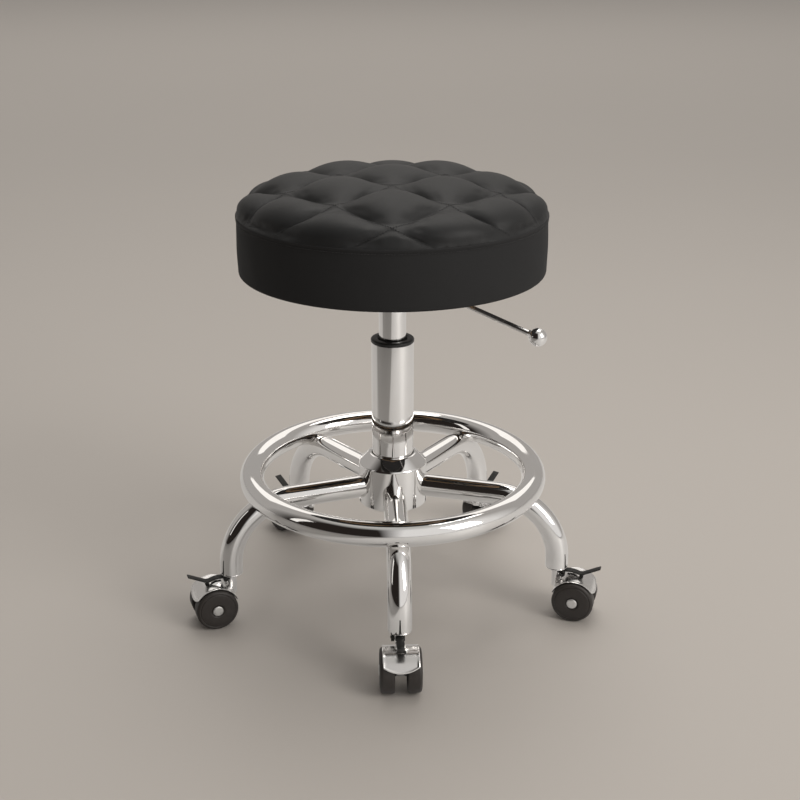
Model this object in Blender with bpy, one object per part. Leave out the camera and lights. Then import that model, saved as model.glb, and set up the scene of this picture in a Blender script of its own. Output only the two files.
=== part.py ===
"""Rolling stool: padded swivel seat on a gas lift, five bent legs, a foot ring and braked twin-wheel casters.

Units are metres and +Z is up. The origin is on the floor, under the centre of the stool's bounding box.
Every piece hangs from an empty on the column's axis, which the knob and the odd number of legs put off centre.
"""

import math

import bmesh
import bpy
from mathutils import Matrix, Vector

MM = 0.001
GAP = 0.3 * MM  # clearance kept between pieces that touch
LEG_COUNT = 5

# Column axis, seen from the centre of the bounding box
COLUMN_X = -2.4 * MM
COLUMN_Y = 18.4 * MM

# Hub and legs
FIRST_LEG_DEG = -87.94  # the front leg; the others follow every 72 degrees
HUB_R = 41 * MM
HUB_BOTTOM_Z = 125 * MM
HUB_SHOULDER_Z = 176 * MM
HUB_TOP_Z = 188 * MM
HUB_NECK_R = 27.5 * MM
HUB_WALL = 3 * MM
TUBE_R = 13.5 * MM
TUBE_WALL = 2 * MM
LEG_Z = 148 * MM
LEG_STRAIGHT_R = 130 * MM
LEG_BEND_R = 75 * MM
LEG_END_Z = 62 * MM
STEM_R = LEG_STRAIGHT_R + LEG_BEND_R
RIVET_R = 4 * MM
RIVET_AT_R = 104 * MM

# Foot ring
RING_R = 170.5 * MM
RING_TUBE_R = 14.3 * MM
RING_Z = 160.8 * MM
RING_STEPS = 40
DRAIN_HOLE_R = 2 * MM

# Column and gas lift
COLUMN_R = 25 * MM
COLUMN_FOOT_R = 23.7 * MM
COLUMN_BORE_R = 22.6 * MM
COLUMN_BOTTOM_Z = 128 * MM
COLUMN_TOP_Z = 328 * MM
COLLAR_HEIGHT = 4 * MM
BUSH_LENGTH = 40 * MM
CYLINDER_R = 16 * MM
CYLINDER_BORE_R = 13 * MM
CYLINDER_BOTTOM_Z = 208 * MM
CYLINDER_TOP_Z = 400 * MM
CYLINDER_NECK_R = 14 * MM
CYLINDER_NECK_Z = 384 * MM
ROD_R = 5 * MM
ROD_BOTTOM_Z = 122 * MM
ROD_TOP_Z = 330 * MM
BUTTON_R = 3.6 * MM
BUTTON_TOP_Z = 402.6 * MM

# Seat
SEAT_R = 176.5 * MM
SEAT_SIDES = 36
BAND_BOTTOM_Z = 416 * MM
SEAM_Z = 482 * MM
CROWN_HEIGHT = 48 * MM
COVER_THICKNESS = 2 * MM
BOARD_Z = 418.7 * MM
BOARD_THICKNESS = 12 * MM
HEM_INNER_R = 150 * MM
DUST_COVER_HOLE_R = 108 * MM

# Seat plate and height lever
LEVER_DEG = -40.0
PLATE_HALF = 75 * MM
PLATE_Z = 415.4 * MM
PLATE_THICKNESS = 3 * MM
CHEEK_Y = 21 * MM
CHEEK_THICKNESS = 2.5 * MM
CHEEK_BOTTOM_Z = 396 * MM
SOCKET_R = 18 * MM
SOCKET_BOTTOM_Z = 386 * MM
LEVER_PIVOT = Vector((24 * MM, 0, 406 * MM))
LEVER_BLADE = Vector((-3 * MM, 34 * MM, 403 * MM))  # tail, nose, underside
LEVER_ROD_R = 3 * MM
KNOB_AT = Vector((203 * MM, 0, 375 * MM))
KNOB_R = 10 * MM

# Casters: lengths are measured outwards from the column's axis
AXLE_AT_R = 228.5 * MM
WHEEL_R = 25 * MM
WHEEL_WIDTH = 16.5 * MM
WHEEL_GAP = 14 * MM
WHEEL_SIDES = 20
AXLE_R = 3 * MM
AXLE_CAP_R = 6.2 * MM
HOOD_INNER_R = 26.2 * MM
HOOD_OUTER_R = 27.7 * MM
HOOD_WIDTH = 40.5 * MM
HOOD_FROM_DEG = 26
HOOD_TO_DEG = 158
WEB_WIDTH = 12.5 * MM
BOSS_R = 5.2 * MM
BOSS_TOP_Z = 58 * MM
SPIGOT_R = 3.4 * MM
HUMP_R = (218.5 * MM, 233.5 * MM)
HUMP_TOP_Z = 54.6 * MM
BRAKE_PIVOT = Vector((213.4 * MM, 0, 55.2 * MM))
BRAKE_WIDTH = 9 * MM
BRAKE_STRIP = 1.8 * MM
BRAKE_TIP = Vector((258.4 * MM, 0, 66 * MM))
TONGUE_DEPTH = 4.4 * MM
TONGUE_SLOT = (20.1 * MM, 23.9 * MM)  # along the lever, from its pivot
KNUCKLE_R = 2.9 * MM


def clear_scene():
    for old in list(bpy.data.objects):
        bpy.data.objects.remove(old, do_unlink=True)


def material(name, colour, roughness, metallic=0.0):
    found = bpy.data.materials.get(name) or bpy.data.materials.new(name)
    found.use_nodes = True
    shader = found.node_tree.nodes["Principled BSDF"]
    shader.inputs["Base Color"].default_value = (*colour, 1.0)
    shader.inputs["Roughness"].default_value = roughness
    shader.inputs["Metallic"].default_value = metallic
    return found


def chrome(name):
    return material(name, (0.78, 0.76, 0.74), 0.08, 1.0)


def steel(name):
    return material(name, (0.42, 0.42, 0.43), 0.35, 1.0)


def black_plastic(name):
    return material(name, (0.02, 0.018, 0.017), 0.5)


def charcoal_leather(name):
    return material(name, (0.03, 0.03, 0.032), 0.45)


def new_object(name, bm, finish, parent, location=(0, 0, 0), turn=0.0):
    """Make one named object from a bmesh, smooth on its round sides, under a parent."""
    bmesh.ops.remove_doubles(bm, verts=bm.verts, dist=1e-6)
    bmesh.ops.recalc_face_normals(bm, faces=bm.faces)
    mesh = bpy.data.meshes.new(name)
    bm.to_mesh(mesh)
    bm.free()
    mesh.shade_smooth()
    mesh.set_sharp_from_angle(angle=math.radians(35))
    mesh.materials.append(finish)
    made = bpy.data.objects.new(name, mesh)
    bpy.context.scene.collection.objects.link(made)
    made.parent = parent
    made.location = location
    made.rotation_euler = (0, 0, turn)
    return made


def empty(name, parent=None, location=(0, 0, 0), turn=0.0):
    made = bpy.data.objects.new(name, None)
    bpy.context.scene.collection.objects.link(made)
    made.parent = parent
    made.location = location
    made.rotation_euler = (0, 0, turn)
    return made


def cut(target, cutter, operation="DIFFERENCE"):
    """Cut or join a hidden helper object into a piece."""
    cutter.hide_render = True
    cutter.display_type = "WIRE"
    boolean = target.modifiers.new(cutter.name, "BOOLEAN")
    boolean.operation = operation
    boolean.solver = "EXACT"
    boolean.object = cutter


def turned(profile, steps, axis=(0, 0, 1), centre=(0, 0, 0)):
    """Spin a closed outline of (radius, height) points, or an open one whose two ends lie on the axis."""
    bm = bmesh.new()
    points = [bm.verts.new((radius, 0, height)) for radius, height in profile]
    on_axis = abs(profile[0][0]) < 1e-9 and abs(profile[-1][0]) < 1e-9
    edges = [bm.edges.new(pair) for pair in zip(points, points[1:])]
    if not on_axis:
        edges.append(bm.edges.new((points[-1], points[0])))
    bmesh.ops.spin(
        bm,
        geom=points + edges,
        cent=(0, 0, 0),
        axis=(0, 0, 1),
        angle=math.tau,
        steps=steps,
        use_merge=True,
    )
    turn = Vector((0, 0, 1)).rotation_difference(Vector(axis)).to_matrix().to_4x4()
    bm.transform(Matrix.Translation(centre) @ turn)
    return bm


def box(low, high):
    bm = bmesh.new()
    bmesh.ops.create_cube(bm, size=1.0)
    low, high = Vector(low), Vector(high)
    size = Matrix.Diagonal(high - low).to_4x4()
    bm.transform(Matrix.Translation((low + high) / 2) @ size)
    return bm


def arc(centre, radius, start_deg, end_deg, steps):
    """Points along an arc in a plane, as (across, up) pairs."""
    points = []
    for step in range(steps + 1):
        angle = math.radians(start_deg + (end_deg - start_deg) * step / steps)
        points.append((centre[0] + radius * math.cos(angle), centre[1] + radius * math.sin(angle)))
    return points


def plate(outline, low_y, high_y):
    """Extrude an outline of (x, z) points across y."""
    bm = bmesh.new()
    face = bm.faces.new([bm.verts.new((x, low_y, z)) for x, z in outline])
    grown = bmesh.ops.extrude_face_region(bm, geom=[face])["geom"]
    moved = [item for item in grown if isinstance(item, bmesh.types.BMVert)]
    bmesh.ops.translate(bm, vec=(0, high_y - low_y, 0), verts=moved)
    bmesh.ops.triangulate(bm, faces=[f for f in bm.faces if len(f.verts) > 4])
    return bm


def leg_tube(sides=12, bend_steps=5):
    """A tube that runs out level from the hub and bends down to the caster, in the XZ plane."""
    bm = bmesh.new()
    for radius in (TUBE_R, TUBE_R - TUBE_WALL):
        bmesh.ops.create_circle(bm, segments=sides, radius=radius)
    bmesh.ops.bridge_loops(bm, edges=bm.edges)
    start = Matrix.Translation((HUB_R + GAP, 0, LEG_Z)) @ Matrix.Rotation(math.pi / 2, 4, "Y")
    bm.transform(start)
    bend_centre = Vector((LEG_STRAIGHT_R, 0, LEG_Z - LEG_BEND_R))
    one_step = Matrix.Rotation(math.radians(90 / bend_steps), 4, "Y")
    around = Matrix.Translation(bend_centre) @ one_step @ Matrix.Translation(-bend_centre)
    moves = [Matrix.Translation((LEG_STRAIGHT_R - HUB_R - GAP, 0, 0))]
    moves += [around] * bend_steps
    moves.append(Matrix.Translation((0, 0, LEG_END_Z - bend_centre.z)))
    hub_end = list(bm.faces)
    front = hub_end
    for move in moves:
        grown = bmesh.ops.extrude_face_region(bm, geom=front)["geom"]
        bmesh.ops.transform(bm, matrix=move, verts=[v for v in grown if isinstance(v, bmesh.types.BMVert)])
        if front is not hub_end:
            bmesh.ops.delete(bm, geom=front, context="FACES_ONLY")
        front = [f for f in grown if isinstance(f, bmesh.types.BMFace)]
    return bm


def ring_profile(radius, tube, height, points):
    """Outline of a round bar bent into a ring."""
    return arc((radius, height), tube, 0, 360 * (points - 1) / points, points - 1)


def build_hub(root):
    inner = COLUMN_FOOT_R + GAP
    neck = COLUMN_FOOT_R + 1.0 * MM
    profile = [
        (inner, HUB_BOTTOM_Z + 1 * MM),
        (inner + HUB_WALL, HUB_BOTTOM_Z + 1 * MM),
        (neck + HUB_WALL, HUB_SHOULDER_Z - HUB_WALL),
        (HUB_R - HUB_WALL, HUB_SHOULDER_Z - HUB_WALL),
        (HUB_R - HUB_WALL, HUB_BOTTOM_Z),
        (HUB_R - 0.8 * MM, HUB_BOTTOM_Z),
        (HUB_R, HUB_BOTTOM_Z + 0.8 * MM),
        (HUB_R, HUB_SHOULDER_Z - 2 * MM),
        (HUB_R - 2 * MM, HUB_SHOULDER_Z),
        (HUB_NECK_R, HUB_TOP_Z),
        (neck, HUB_TOP_Z),
    ]
    new_object("hub", turned(profile, 24), chrome("hub_chrome"), root)


def build_legs(root):
    cutter = turned(ring_profile(RING_R, RING_TUBE_R + GAP, RING_Z, 10), RING_STEPS)
    ring_cutter = new_object("ring_saddle_cutter", cutter, chrome("ring_chrome"), root)
    for number in range(1, LEG_COUNT + 1):
        turn = math.radians(FIRST_LEG_DEG + (number - 1) * 360 / LEG_COUNT)
        leg = new_object(f"leg_{number}", leg_tube(), chrome("leg_chrome"), root, turn=turn)
        cut(leg, ring_cutter)
        build_leg_rivet(number, root, turn)
        build_caster(number, root, turn)


def build_leg_rivet(number, root, turn):
    top = LEG_Z - TUBE_R - GAP
    profile = [(0, top), (RIVET_R, top), (RIVET_R, top - 1.5 * MM)]
    profile += [(RIVET_R * 0.8, top - 3.4 * MM), (RIVET_R * 0.4, top - 4.4 * MM), (0, top - 4.7 * MM)]
    bm = turned(profile, 10, centre=(RIVET_AT_R, 0, 0))
    new_object(f"leg_rivet_{number}", bm, chrome("rivet_chrome"), root, turn=turn)


def build_foot_ring(root):
    bm = turned(ring_profile(RING_R, RING_TUBE_R, RING_Z, 10), RING_STEPS)
    ring = new_object("foot_ring", bm, chrome("ring_chrome"), root)
    hollow = turned(ring_profile(RING_R, RING_TUBE_R - TUBE_WALL, RING_Z, 8), RING_STEPS)
    cut(ring, new_object("ring_hollow_cutter", hollow, chrome("ring_chrome"), root))
    for side, angle in enumerate((-52, 128)):
        place = Vector((RING_R * math.cos(math.radians(angle)), RING_R * math.sin(math.radians(angle)), 0))
        low = RING_Z - RING_TUBE_R - 2 * MM
        profile = [(0, low), (DRAIN_HOLE_R, low), (DRAIN_HOLE_R, RING_Z), (0, RING_Z)]
        drill = turned(profile, 8, centre=place)
        cut(ring, new_object(f"drain_hole_cutter_{side}", drill, chrome("ring_chrome"), root))


def build_column(root):
    taper_z = HUB_TOP_Z + 12 * MM
    profile = [
        (ROD_R + GAP, COLUMN_BOTTOM_Z),
        (COLUMN_FOOT_R, COLUMN_BOTTOM_Z),
        (COLUMN_FOOT_R, HUB_SHOULDER_Z - 6 * MM),
        (COLUMN_FOOT_R + 0.5 * MM, HUB_TOP_Z),
        (COLUMN_R, taper_z),
        (COLUMN_R, COLUMN_TOP_Z),
        (COLUMN_BORE_R, COLUMN_TOP_Z),
        (COLUMN_BORE_R, taper_z),
        (COLUMN_FOOT_R - 2 * MM, HUB_SHOULDER_Z),
        (COLUMN_FOOT_R - 2 * MM, COLUMN_BOTTOM_Z + 3 * MM),
        (ROD_R + GAP, COLUMN_BOTTOM_Z + 3 * MM),
    ]
    new_object("column_tube", turned(profile, 24), chrome("column_chrome"), root)
    lip_z = COLUMN_TOP_Z + GAP
    profile = [
        (CYLINDER_R + GAP, COLUMN_TOP_Z - BUSH_LENGTH),
        (COLUMN_BORE_R - GAP, COLUMN_TOP_Z - BUSH_LENGTH),
        (COLUMN_BORE_R - GAP, lip_z),
        (COLUMN_R + 0.3 * MM, lip_z),
        (COLUMN_R + 0.3 * MM, lip_z + COLLAR_HEIGHT - 1 * MM),
        (COLUMN_R - 0.7 * MM, lip_z + COLLAR_HEIGHT),
        (CYLINDER_R + GAP, lip_z + COLLAR_HEIGHT),
    ]
    new_object("column_bush", turned(profile, 24), black_plastic("bush_plastic"), root)
    floor_z = COLUMN_BOTTOM_Z + 3 * MM + GAP
    profile = [(ROD_R + GAP, floor_z), (12 * MM, floor_z), (12 * MM, floor_z + 3 * MM), (ROD_R + GAP, floor_z + 3 * MM)]
    new_object("thrust_bearing", turned(profile, 16), steel("bearing_steel"), root)


def build_lift(root):
    shoulder_z = COLUMN_BOTTOM_Z + 6 * MM + 2 * GAP
    groove_low, groove_high = ROD_BOTTOM_Z + 2 * MM, ROD_BOTTOM_Z + 4.4 * MM
    piston_z = ROD_TOP_Z - 12 * MM
    profile = [
        (0, ROD_BOTTOM_Z),
        (ROD_R - 0.6 * MM, ROD_BOTTOM_Z),
        (ROD_R - 0.6 * MM, groove_low),
        (3.4 * MM, groove_low),
        (3.4 * MM, groove_high),
        (ROD_R, groove_high),
        (ROD_R, shoulder_z),
        (7.5 * MM, shoulder_z),
        (7.5 * MM, shoulder_z + 2.5 * MM),
        (ROD_R, shoulder_z + 2.5 * MM),
        (ROD_R, piston_z - 2 * MM),
        (3.5 * MM, piston_z - 2 * MM),
        (3.5 * MM, ROD_TOP_Z),
        (0, ROD_TOP_Z),
    ]
    new_object("piston_rod", turned(profile, 12), steel("rod_steel"), root)
    low = piston_z - 2 * MM + GAP
    profile = [(3.5 * MM + GAP, low), (CYLINDER_BORE_R - GAP, low), (CYLINDER_BORE_R - GAP, ROD_TOP_Z - 2 * MM)]
    profile.append((3.5 * MM + GAP, ROD_TOP_Z - 2 * MM))
    new_object("piston", turned(profile, 16), steel("piston_steel"), root)
    low = groove_low + 0.2 * MM
    profile = [(3.7 * MM, low), (8 * MM, low), (8 * MM, low + 1.6 * MM), (3.7 * MM, low + 1.6 * MM)]
    new_object("rod_clip", turned(profile, 12), steel("clip_steel"), root)
    profile = [
        (ROD_R + GAP, CYLINDER_BOTTOM_Z),
        (CYLINDER_R - 1.5 * MM, CYLINDER_BOTTOM_Z),
        (CYLINDER_R, CYLINDER_BOTTOM_Z + 1.5 * MM),
        (CYLINDER_R, CYLINDER_NECK_Z - 3 * MM),
        (CYLINDER_NECK_R, CYLINDER_NECK_Z),
        (CYLINDER_NECK_R, CYLINDER_TOP_Z),
        (BUTTON_R + GAP, CYLINDER_TOP_Z),
        (BUTTON_R + GAP, CYLINDER_TOP_Z - 16 * MM),
        (CYLINDER_BORE_R - 3 * MM, CYLINDER_TOP_Z - 16 * MM),
        (CYLINDER_BORE_R, CYLINDER_NECK_Z - 6 * MM),
        (CYLINDER_BORE_R, CYLINDER_BOTTOM_Z + 6 * MM),
        (ROD_R + GAP, CYLINDER_BOTTOM_Z + 6 * MM),
    ]
    new_object("gas_cylinder", turned(profile, 20), chrome("cylinder_chrome"), root)
    low = CYLINDER_TOP_Z - 8 * MM
    profile = [(0, low), (BUTTON_R, low), (BUTTON_R, BUTTON_TOP_Z - 0.6 * MM)]
    profile += [(BUTTON_R - 0.8 * MM, BUTTON_TOP_Z), (0, BUTTON_TOP_Z)]
    new_object("valve_button", turned(profile, 14), steel("button_steel"), root)


def dome(radius, height, base_z, steps=6):
    """Outline of a cushion top, from its rim to its middle: steep at the edge, then nearly flat."""
    points = []
    for step in range(steps + 1):
        angle = math.pi / 2 * step / steps
        points.append((radius * math.cos(angle), base_z + height * math.sin(angle) ** 0.8))
    points[-1] = (0, base_z + height)
    return points


def build_seat(root):
    leather = charcoal_leather("cover_leather")
    wood = material("board_wood", (0.45, 0.3, 0.16), 0.7)
    under = BOARD_Z - GAP
    profile = [
        (SEAT_R, SEAM_Z - GAP),
        (SEAT_R, BAND_BOTTOM_Z + 6 * MM),
        (SEAT_R - 1.8 * MM, BAND_BOTTOM_Z + 1.8 * MM),
        (SEAT_R - 6 * MM, BAND_BOTTOM_Z),
        (HEM_INNER_R, BAND_BOTTOM_Z),
        (HEM_INNER_R, under),
        (SEAT_R - COVER_THICKNESS - 0.6 * MM, under),
        (SEAT_R - COVER_THICKNESS, under + 4 * MM),
        (SEAT_R - COVER_THICKNESS, SEAM_Z - GAP),
    ]
    new_object("side_band", turned(profile, SEAT_SIDES), leather, root)
    inner_r = SEAT_R - COVER_THICKNESS - GAP
    profile = [(0, BOARD_Z), (inner_r - 3 * MM, BOARD_Z), (inner_r - 3 * MM, BOARD_Z + BOARD_THICKNESS)]
    profile.append((0, BOARD_Z + BOARD_THICKNESS))
    new_object("seat_board", turned(profile, SEAT_SIDES), wood, root)
    foam_z = BOARD_Z + BOARD_THICKNESS + GAP
    profile = [(0, foam_z)]
    profile += [(inner_r, foam_z)] + dome(inner_r, CROWN_HEIGHT - COVER_THICKNESS - GAP, SEAM_Z)
    foam = material("seat_foam", (0.75, 0.68, 0.45), 0.9)
    new_object("seat_foam", turned(profile, SEAT_SIDES), foam, root)
    outside = dome(SEAT_R, CROWN_HEIGHT, SEAM_Z)
    inside = dome(SEAT_R - COVER_THICKNESS, CROWN_HEIGHT - COVER_THICKNESS, SEAM_Z)
    new_object("quilted_top", turned(inside[::-1] + outside, SEAT_SIDES), leather, root)
    low = BAND_BOTTOM_Z + 1 * MM
    hem = HEM_INNER_R - GAP
    profile = [(DUST_COVER_HOLE_R, low), (hem, low), (hem, under), (DUST_COVER_HOLE_R, under)]
    cloth = material("dust_cloth", (0.02, 0.02, 0.02), 0.95)
    new_object("dust_cover", turned(profile, SEAT_SIDES), cloth, root)


def build_seat_plate(root, turn):
    finish = material("plate_paint", (0.03, 0.03, 0.03), 0.5)
    top = PLATE_Z + PLATE_THICKNESS
    flange = box((-PLATE_HALF, -PLATE_HALF, PLATE_Z), (PLATE_HALF, PLATE_HALF, top))
    corners = [e for e in flange.edges if abs(e.verts[0].co.z - e.verts[1].co.z) > 1 * MM]
    bmesh.ops.bevel(flange, geom=corners, offset=10 * MM, segments=3, affect="EDGES", profile=0.5)
    seat_plate = new_object("seat_plate", flange, finish, root, turn=turn)
    outer = CHEEK_Y + CHEEK_THICKNESS
    for side, (low_y, high_y) in enumerate(((-outer, -CHEEK_Y), (CHEEK_Y, outer))):
        cheek = box((-40 * MM, low_y, CHEEK_BOTTOM_Z), (50 * MM, high_y, PLATE_Z + 1 * MM))
        cut(seat_plate, new_object(f"cheek_helper_{side}", cheek, finish, root, turn=turn), "UNION")
    web_top = CHEEK_BOTTOM_Z + CHEEK_THICKNESS
    web = box((-40 * MM, 1 * MM - outer, CHEEK_BOTTOM_Z), (30 * MM, outer - 1 * MM, web_top))
    cut(seat_plate, new_object("web_helper", web, finish, root, turn=turn), "UNION")
    mid = CHEEK_BOTTOM_Z + 1 * MM
    profile = [(0, SOCKET_BOTTOM_Z), (SOCKET_R, SOCKET_BOTTOM_Z), (SOCKET_R + 1.5 * MM, mid), (0, mid)]
    cut(seat_plate, new_object("socket_helper", turned(profile, 24), finish, root, turn=turn), "UNION")
    bore_r = CYLINDER_NECK_R + GAP
    low, high = SOCKET_BOTTOM_Z - 2 * MM, CHEEK_BOTTOM_Z + 5 * MM
    profile = [(0, low), (bore_r, low), (bore_r, high), (0, high)]
    cut(seat_plate, new_object("socket_bore_cutter", turned(profile, 24), finish, root, turn=turn))
    hole_r = 2.5 * MM + GAP
    profile = [(0, -40 * MM), (hole_r, -40 * MM), (hole_r, 40 * MM), (0, 40 * MM)]
    drill = turned(profile, 12, axis=(0, 1, 0), centre=LEVER_PIVOT)
    cut(seat_plate, new_object("pivot_hole_cutter", drill, finish, root, turn=turn))


def build_lever(root, turn):
    pin_half = CHEEK_Y + CHEEK_THICKNESS + 1.5 * MM
    profile = [(0, -pin_half), (2.5 * MM, -pin_half), (2.5 * MM, pin_half), (0, pin_half)]
    pin = turned(profile, 12, axis=(0, 1, 0), centre=LEVER_PIVOT)
    new_object("lever_pivot_pin", pin, steel("pin_steel"), root, turn=turn)

    joint = empty("lever_joint", root, Matrix.Rotation(turn, 4, "Z") @ LEVER_PIVOT, turn)
    tail, nose, under = LEVER_BLADE
    blade = box((tail, -4 * MM, under), (nose, 4 * MM, under + 6 * MM))
    blade.transform(Matrix.Translation(-LEVER_PIVOT))
    arm = new_object("lever_arm", blade, chrome("lever_chrome"), joint)
    rod_from = Vector((nose - 5 * MM, 0, under + 3 * MM)) - LEVER_PIVOT
    rod_to = KNOB_AT - LEVER_PIVOT
    along = (rod_to - rod_from).normalized()
    length = (rod_to - rod_from).length - KNOB_R + 3 * MM
    profile = [(0, 0), (LEVER_ROD_R, 0), (LEVER_ROD_R, length), (0, length)]
    rod = turned(profile, 12, axis=along, centre=rod_from)
    cut(arm, new_object("lever_rod_helper", rod, chrome("lever_chrome"), joint), "UNION")
    profile = [(0, -8 * MM), (2.5 * MM + GAP, -8 * MM), (2.5 * MM + GAP, 8 * MM), (0, 8 * MM)]
    cut(arm, new_object("lever_hole_cutter", turned(profile, 12, axis=(0, 1, 0)), steel("pin_steel"), joint))

    hole_r, hole_depth = LEVER_ROD_R + GAP, 3 * MM + GAP
    hole = math.asin(hole_r / KNOB_R)
    ball = [(hole_r, hole_depth - KNOB_R), (hole_r, -KNOB_R * math.cos(hole))]
    for step in range(1, 9):
        angle = hole + (math.pi - hole) * step / 8
        ball.append((KNOB_R * math.sin(angle), -KNOB_R * math.cos(angle)))
    ball[-1] = (0, KNOB_R)
    knob = turned([(0, hole_depth - KNOB_R)] + ball, 16, axis=along, centre=rod_to)
    new_object("lever_knob", knob, chrome("knob_chrome"), joint)


def build_caster(number, root, turn):
    """A stem in the leg's end, and a hooded twin-wheel caster that turns about it and trails outwards."""
    stem = [
        (0, 38 * MM),
        (SPIGOT_R, 38 * MM),
        (SPIGOT_R, BOSS_TOP_Z + GAP),
        (11.5 * MM, BOSS_TOP_Z + 2 * MM),
        (12.5 * MM, LEG_END_Z - GAP),
        (11 * MM, LEG_END_Z - GAP),
        (11 * MM, LEG_END_Z + 10 * MM),
        (0, LEG_END_Z + 10 * MM),
    ]
    bm = turned(stem, 12, centre=(STEM_R, 0, 0))
    new_object(f"caster_stem_{number}", bm, steel("stem_steel"), root, turn=turn)

    place = Matrix.Rotation(turn, 4, "Z") @ Vector((STEM_R, 0, 0))
    swivel = empty(f"caster_{number}_joint", root, place, turn)
    trail = AXLE_AT_R - STEM_R
    axle_place = Vector((trail, 0, WHEEL_R))
    build_housing(number, swivel, axle_place)
    build_axle(number, swivel, axle_place)
    for side, sign in (("left", 1), ("right", -1)):
        build_wheel(f"wheel_{number}_{side}", swivel, axle_place, sign)
    build_brake(number, swivel)


def build_housing(number, swivel, axle_place):
    finish = chrome("housing_chrome")
    hood = arc((0, 0), HOOD_OUTER_R, HOOD_FROM_DEG, HOOD_TO_DEG, 9)
    hood += arc((0, 0), HOOD_INNER_R, HOOD_TO_DEG, HOOD_FROM_DEG, 9)
    bm = plate([(x + axle_place.x, z + axle_place.z) for x, z in hood], -HOOD_WIDTH / 2, HOOD_WIDTH / 2)
    housing = new_object(f"caster_housing_{number}", bm, finish, swivel)
    web = arc((0, 0), HOOD_INNER_R + 0.7 * MM, HOOD_FROM_DEG + 14, HOOD_TO_DEG, 7)
    web += arc((0, 0), 7 * MM, 200, 380, 6)
    bm = plate([(x + axle_place.x, z + axle_place.z) for x, z in web], -WEB_WIDTH / 2, WEB_WIDTH / 2)
    cut(housing, new_object(f"web_helper_{number}", bm, finish, swivel), "UNION")
    low, high = 34 * MM, BOSS_TOP_Z
    boss = turned([(0, low), (BOSS_R, low), (BOSS_R, high), (0, high)], 14)
    cut(housing, new_object(f"boss_helper_{number}", boss, finish, swivel), "UNION")
    from_x, to_x = HUMP_R[0] - STEM_R, HUMP_R[1] - STEM_R
    hump = [(from_x, 50 * MM), (to_x, 48 * MM), (to_x, HUMP_TOP_Z - 4 * MM)]
    hump += [(to_x - 3.5 * MM, HUMP_TOP_Z - 1.8 * MM), (to_x - 7.5 * MM, HUMP_TOP_Z), (from_x, HUMP_TOP_Z)]
    bm = plate(hump, -6 * MM, 6 * MM)
    cut(housing, new_object(f"hump_helper_{number}", bm, finish, swivel), "UNION")
    from_x, to_x = (BRAKE_PIVOT.x + along - STEM_R for along in TONGUE_SLOT)
    slot = box((from_x, -BRAKE_WIDTH / 2 - GAP, 47.5 * MM), (to_x, BRAKE_WIDTH / 2 + GAP, 56 * MM))
    cut(housing, new_object(f"tongue_slot_cutter_{number}", slot, finish, swivel))
    bore = turned([(0, 20 * MM), (SPIGOT_R + GAP, 20 * MM), (SPIGOT_R + GAP, 70 * MM), (0, 70 * MM)], 12)
    cut(housing, new_object(f"stem_bore_cutter_{number}", bore, finish, swivel))
    hole_r = AXLE_R + GAP
    drill = [(0, -30 * MM), (hole_r, -30 * MM), (hole_r, 30 * MM), (0, 30 * MM)]
    bm = turned(drill, 12, axis=(0, 1, 0), centre=axle_place)
    cut(housing, new_object(f"axle_bore_cutter_{number}", bm, finish, swivel))


def build_axle(number, swivel, axle_place):
    half = WHEEL_GAP / 2 + WHEEL_WIDTH
    cap_in, cap_out = half - 1 * MM, half + 0.6 * MM
    profile = [
        (0, -cap_out),
        (AXLE_CAP_R, -cap_out),
        (AXLE_CAP_R, -cap_in),
        (AXLE_R, -cap_in),
        (AXLE_R, cap_in),
        (AXLE_CAP_R, cap_in),
        (AXLE_CAP_R, cap_out),
        (0, cap_out),
    ]
    bm = turned(profile, 12, axis=(0, 1, 0), centre=axle_place)
    new_object(f"caster_axle_{number}", bm, steel("axle_steel"), swivel)


def build_wheel(name, swivel, axle_place, sign):
    """One wheel, centred on its own axle; its tread has a flat under the axle to stand on."""
    corner_r = WHEEL_R / math.cos(math.pi / WHEEL_SIDES)
    inner, outer = WHEEL_GAP / 2, WHEEL_GAP / 2 + WHEEL_WIDTH
    recess_r, recess_floor = AXLE_CAP_R + 0.9 * MM, WHEEL_GAP / 2 + WHEEL_WIDTH - 1.6 * MM
    profile = [
        (AXLE_R + GAP, inner),
        (corner_r, inner),
        (corner_r, outer - 2.5 * MM),
        (corner_r - 2.5 * MM, outer),
        (recess_r, outer),
        (recess_r, recess_floor),
        (AXLE_R + GAP, recess_floor),
    ]
    bm = turned([(radius, sign * height) for radius, height in profile], WHEEL_SIDES)
    half_side = Matrix.Rotation(math.pi / WHEEL_SIDES, 4, "Z")
    bm.transform(Matrix.Rotation(-math.pi / 2, 4, "X") @ half_side)
    new_object(name, bm, black_plastic("wheel_plastic"), swivel, location=axle_place)


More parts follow.
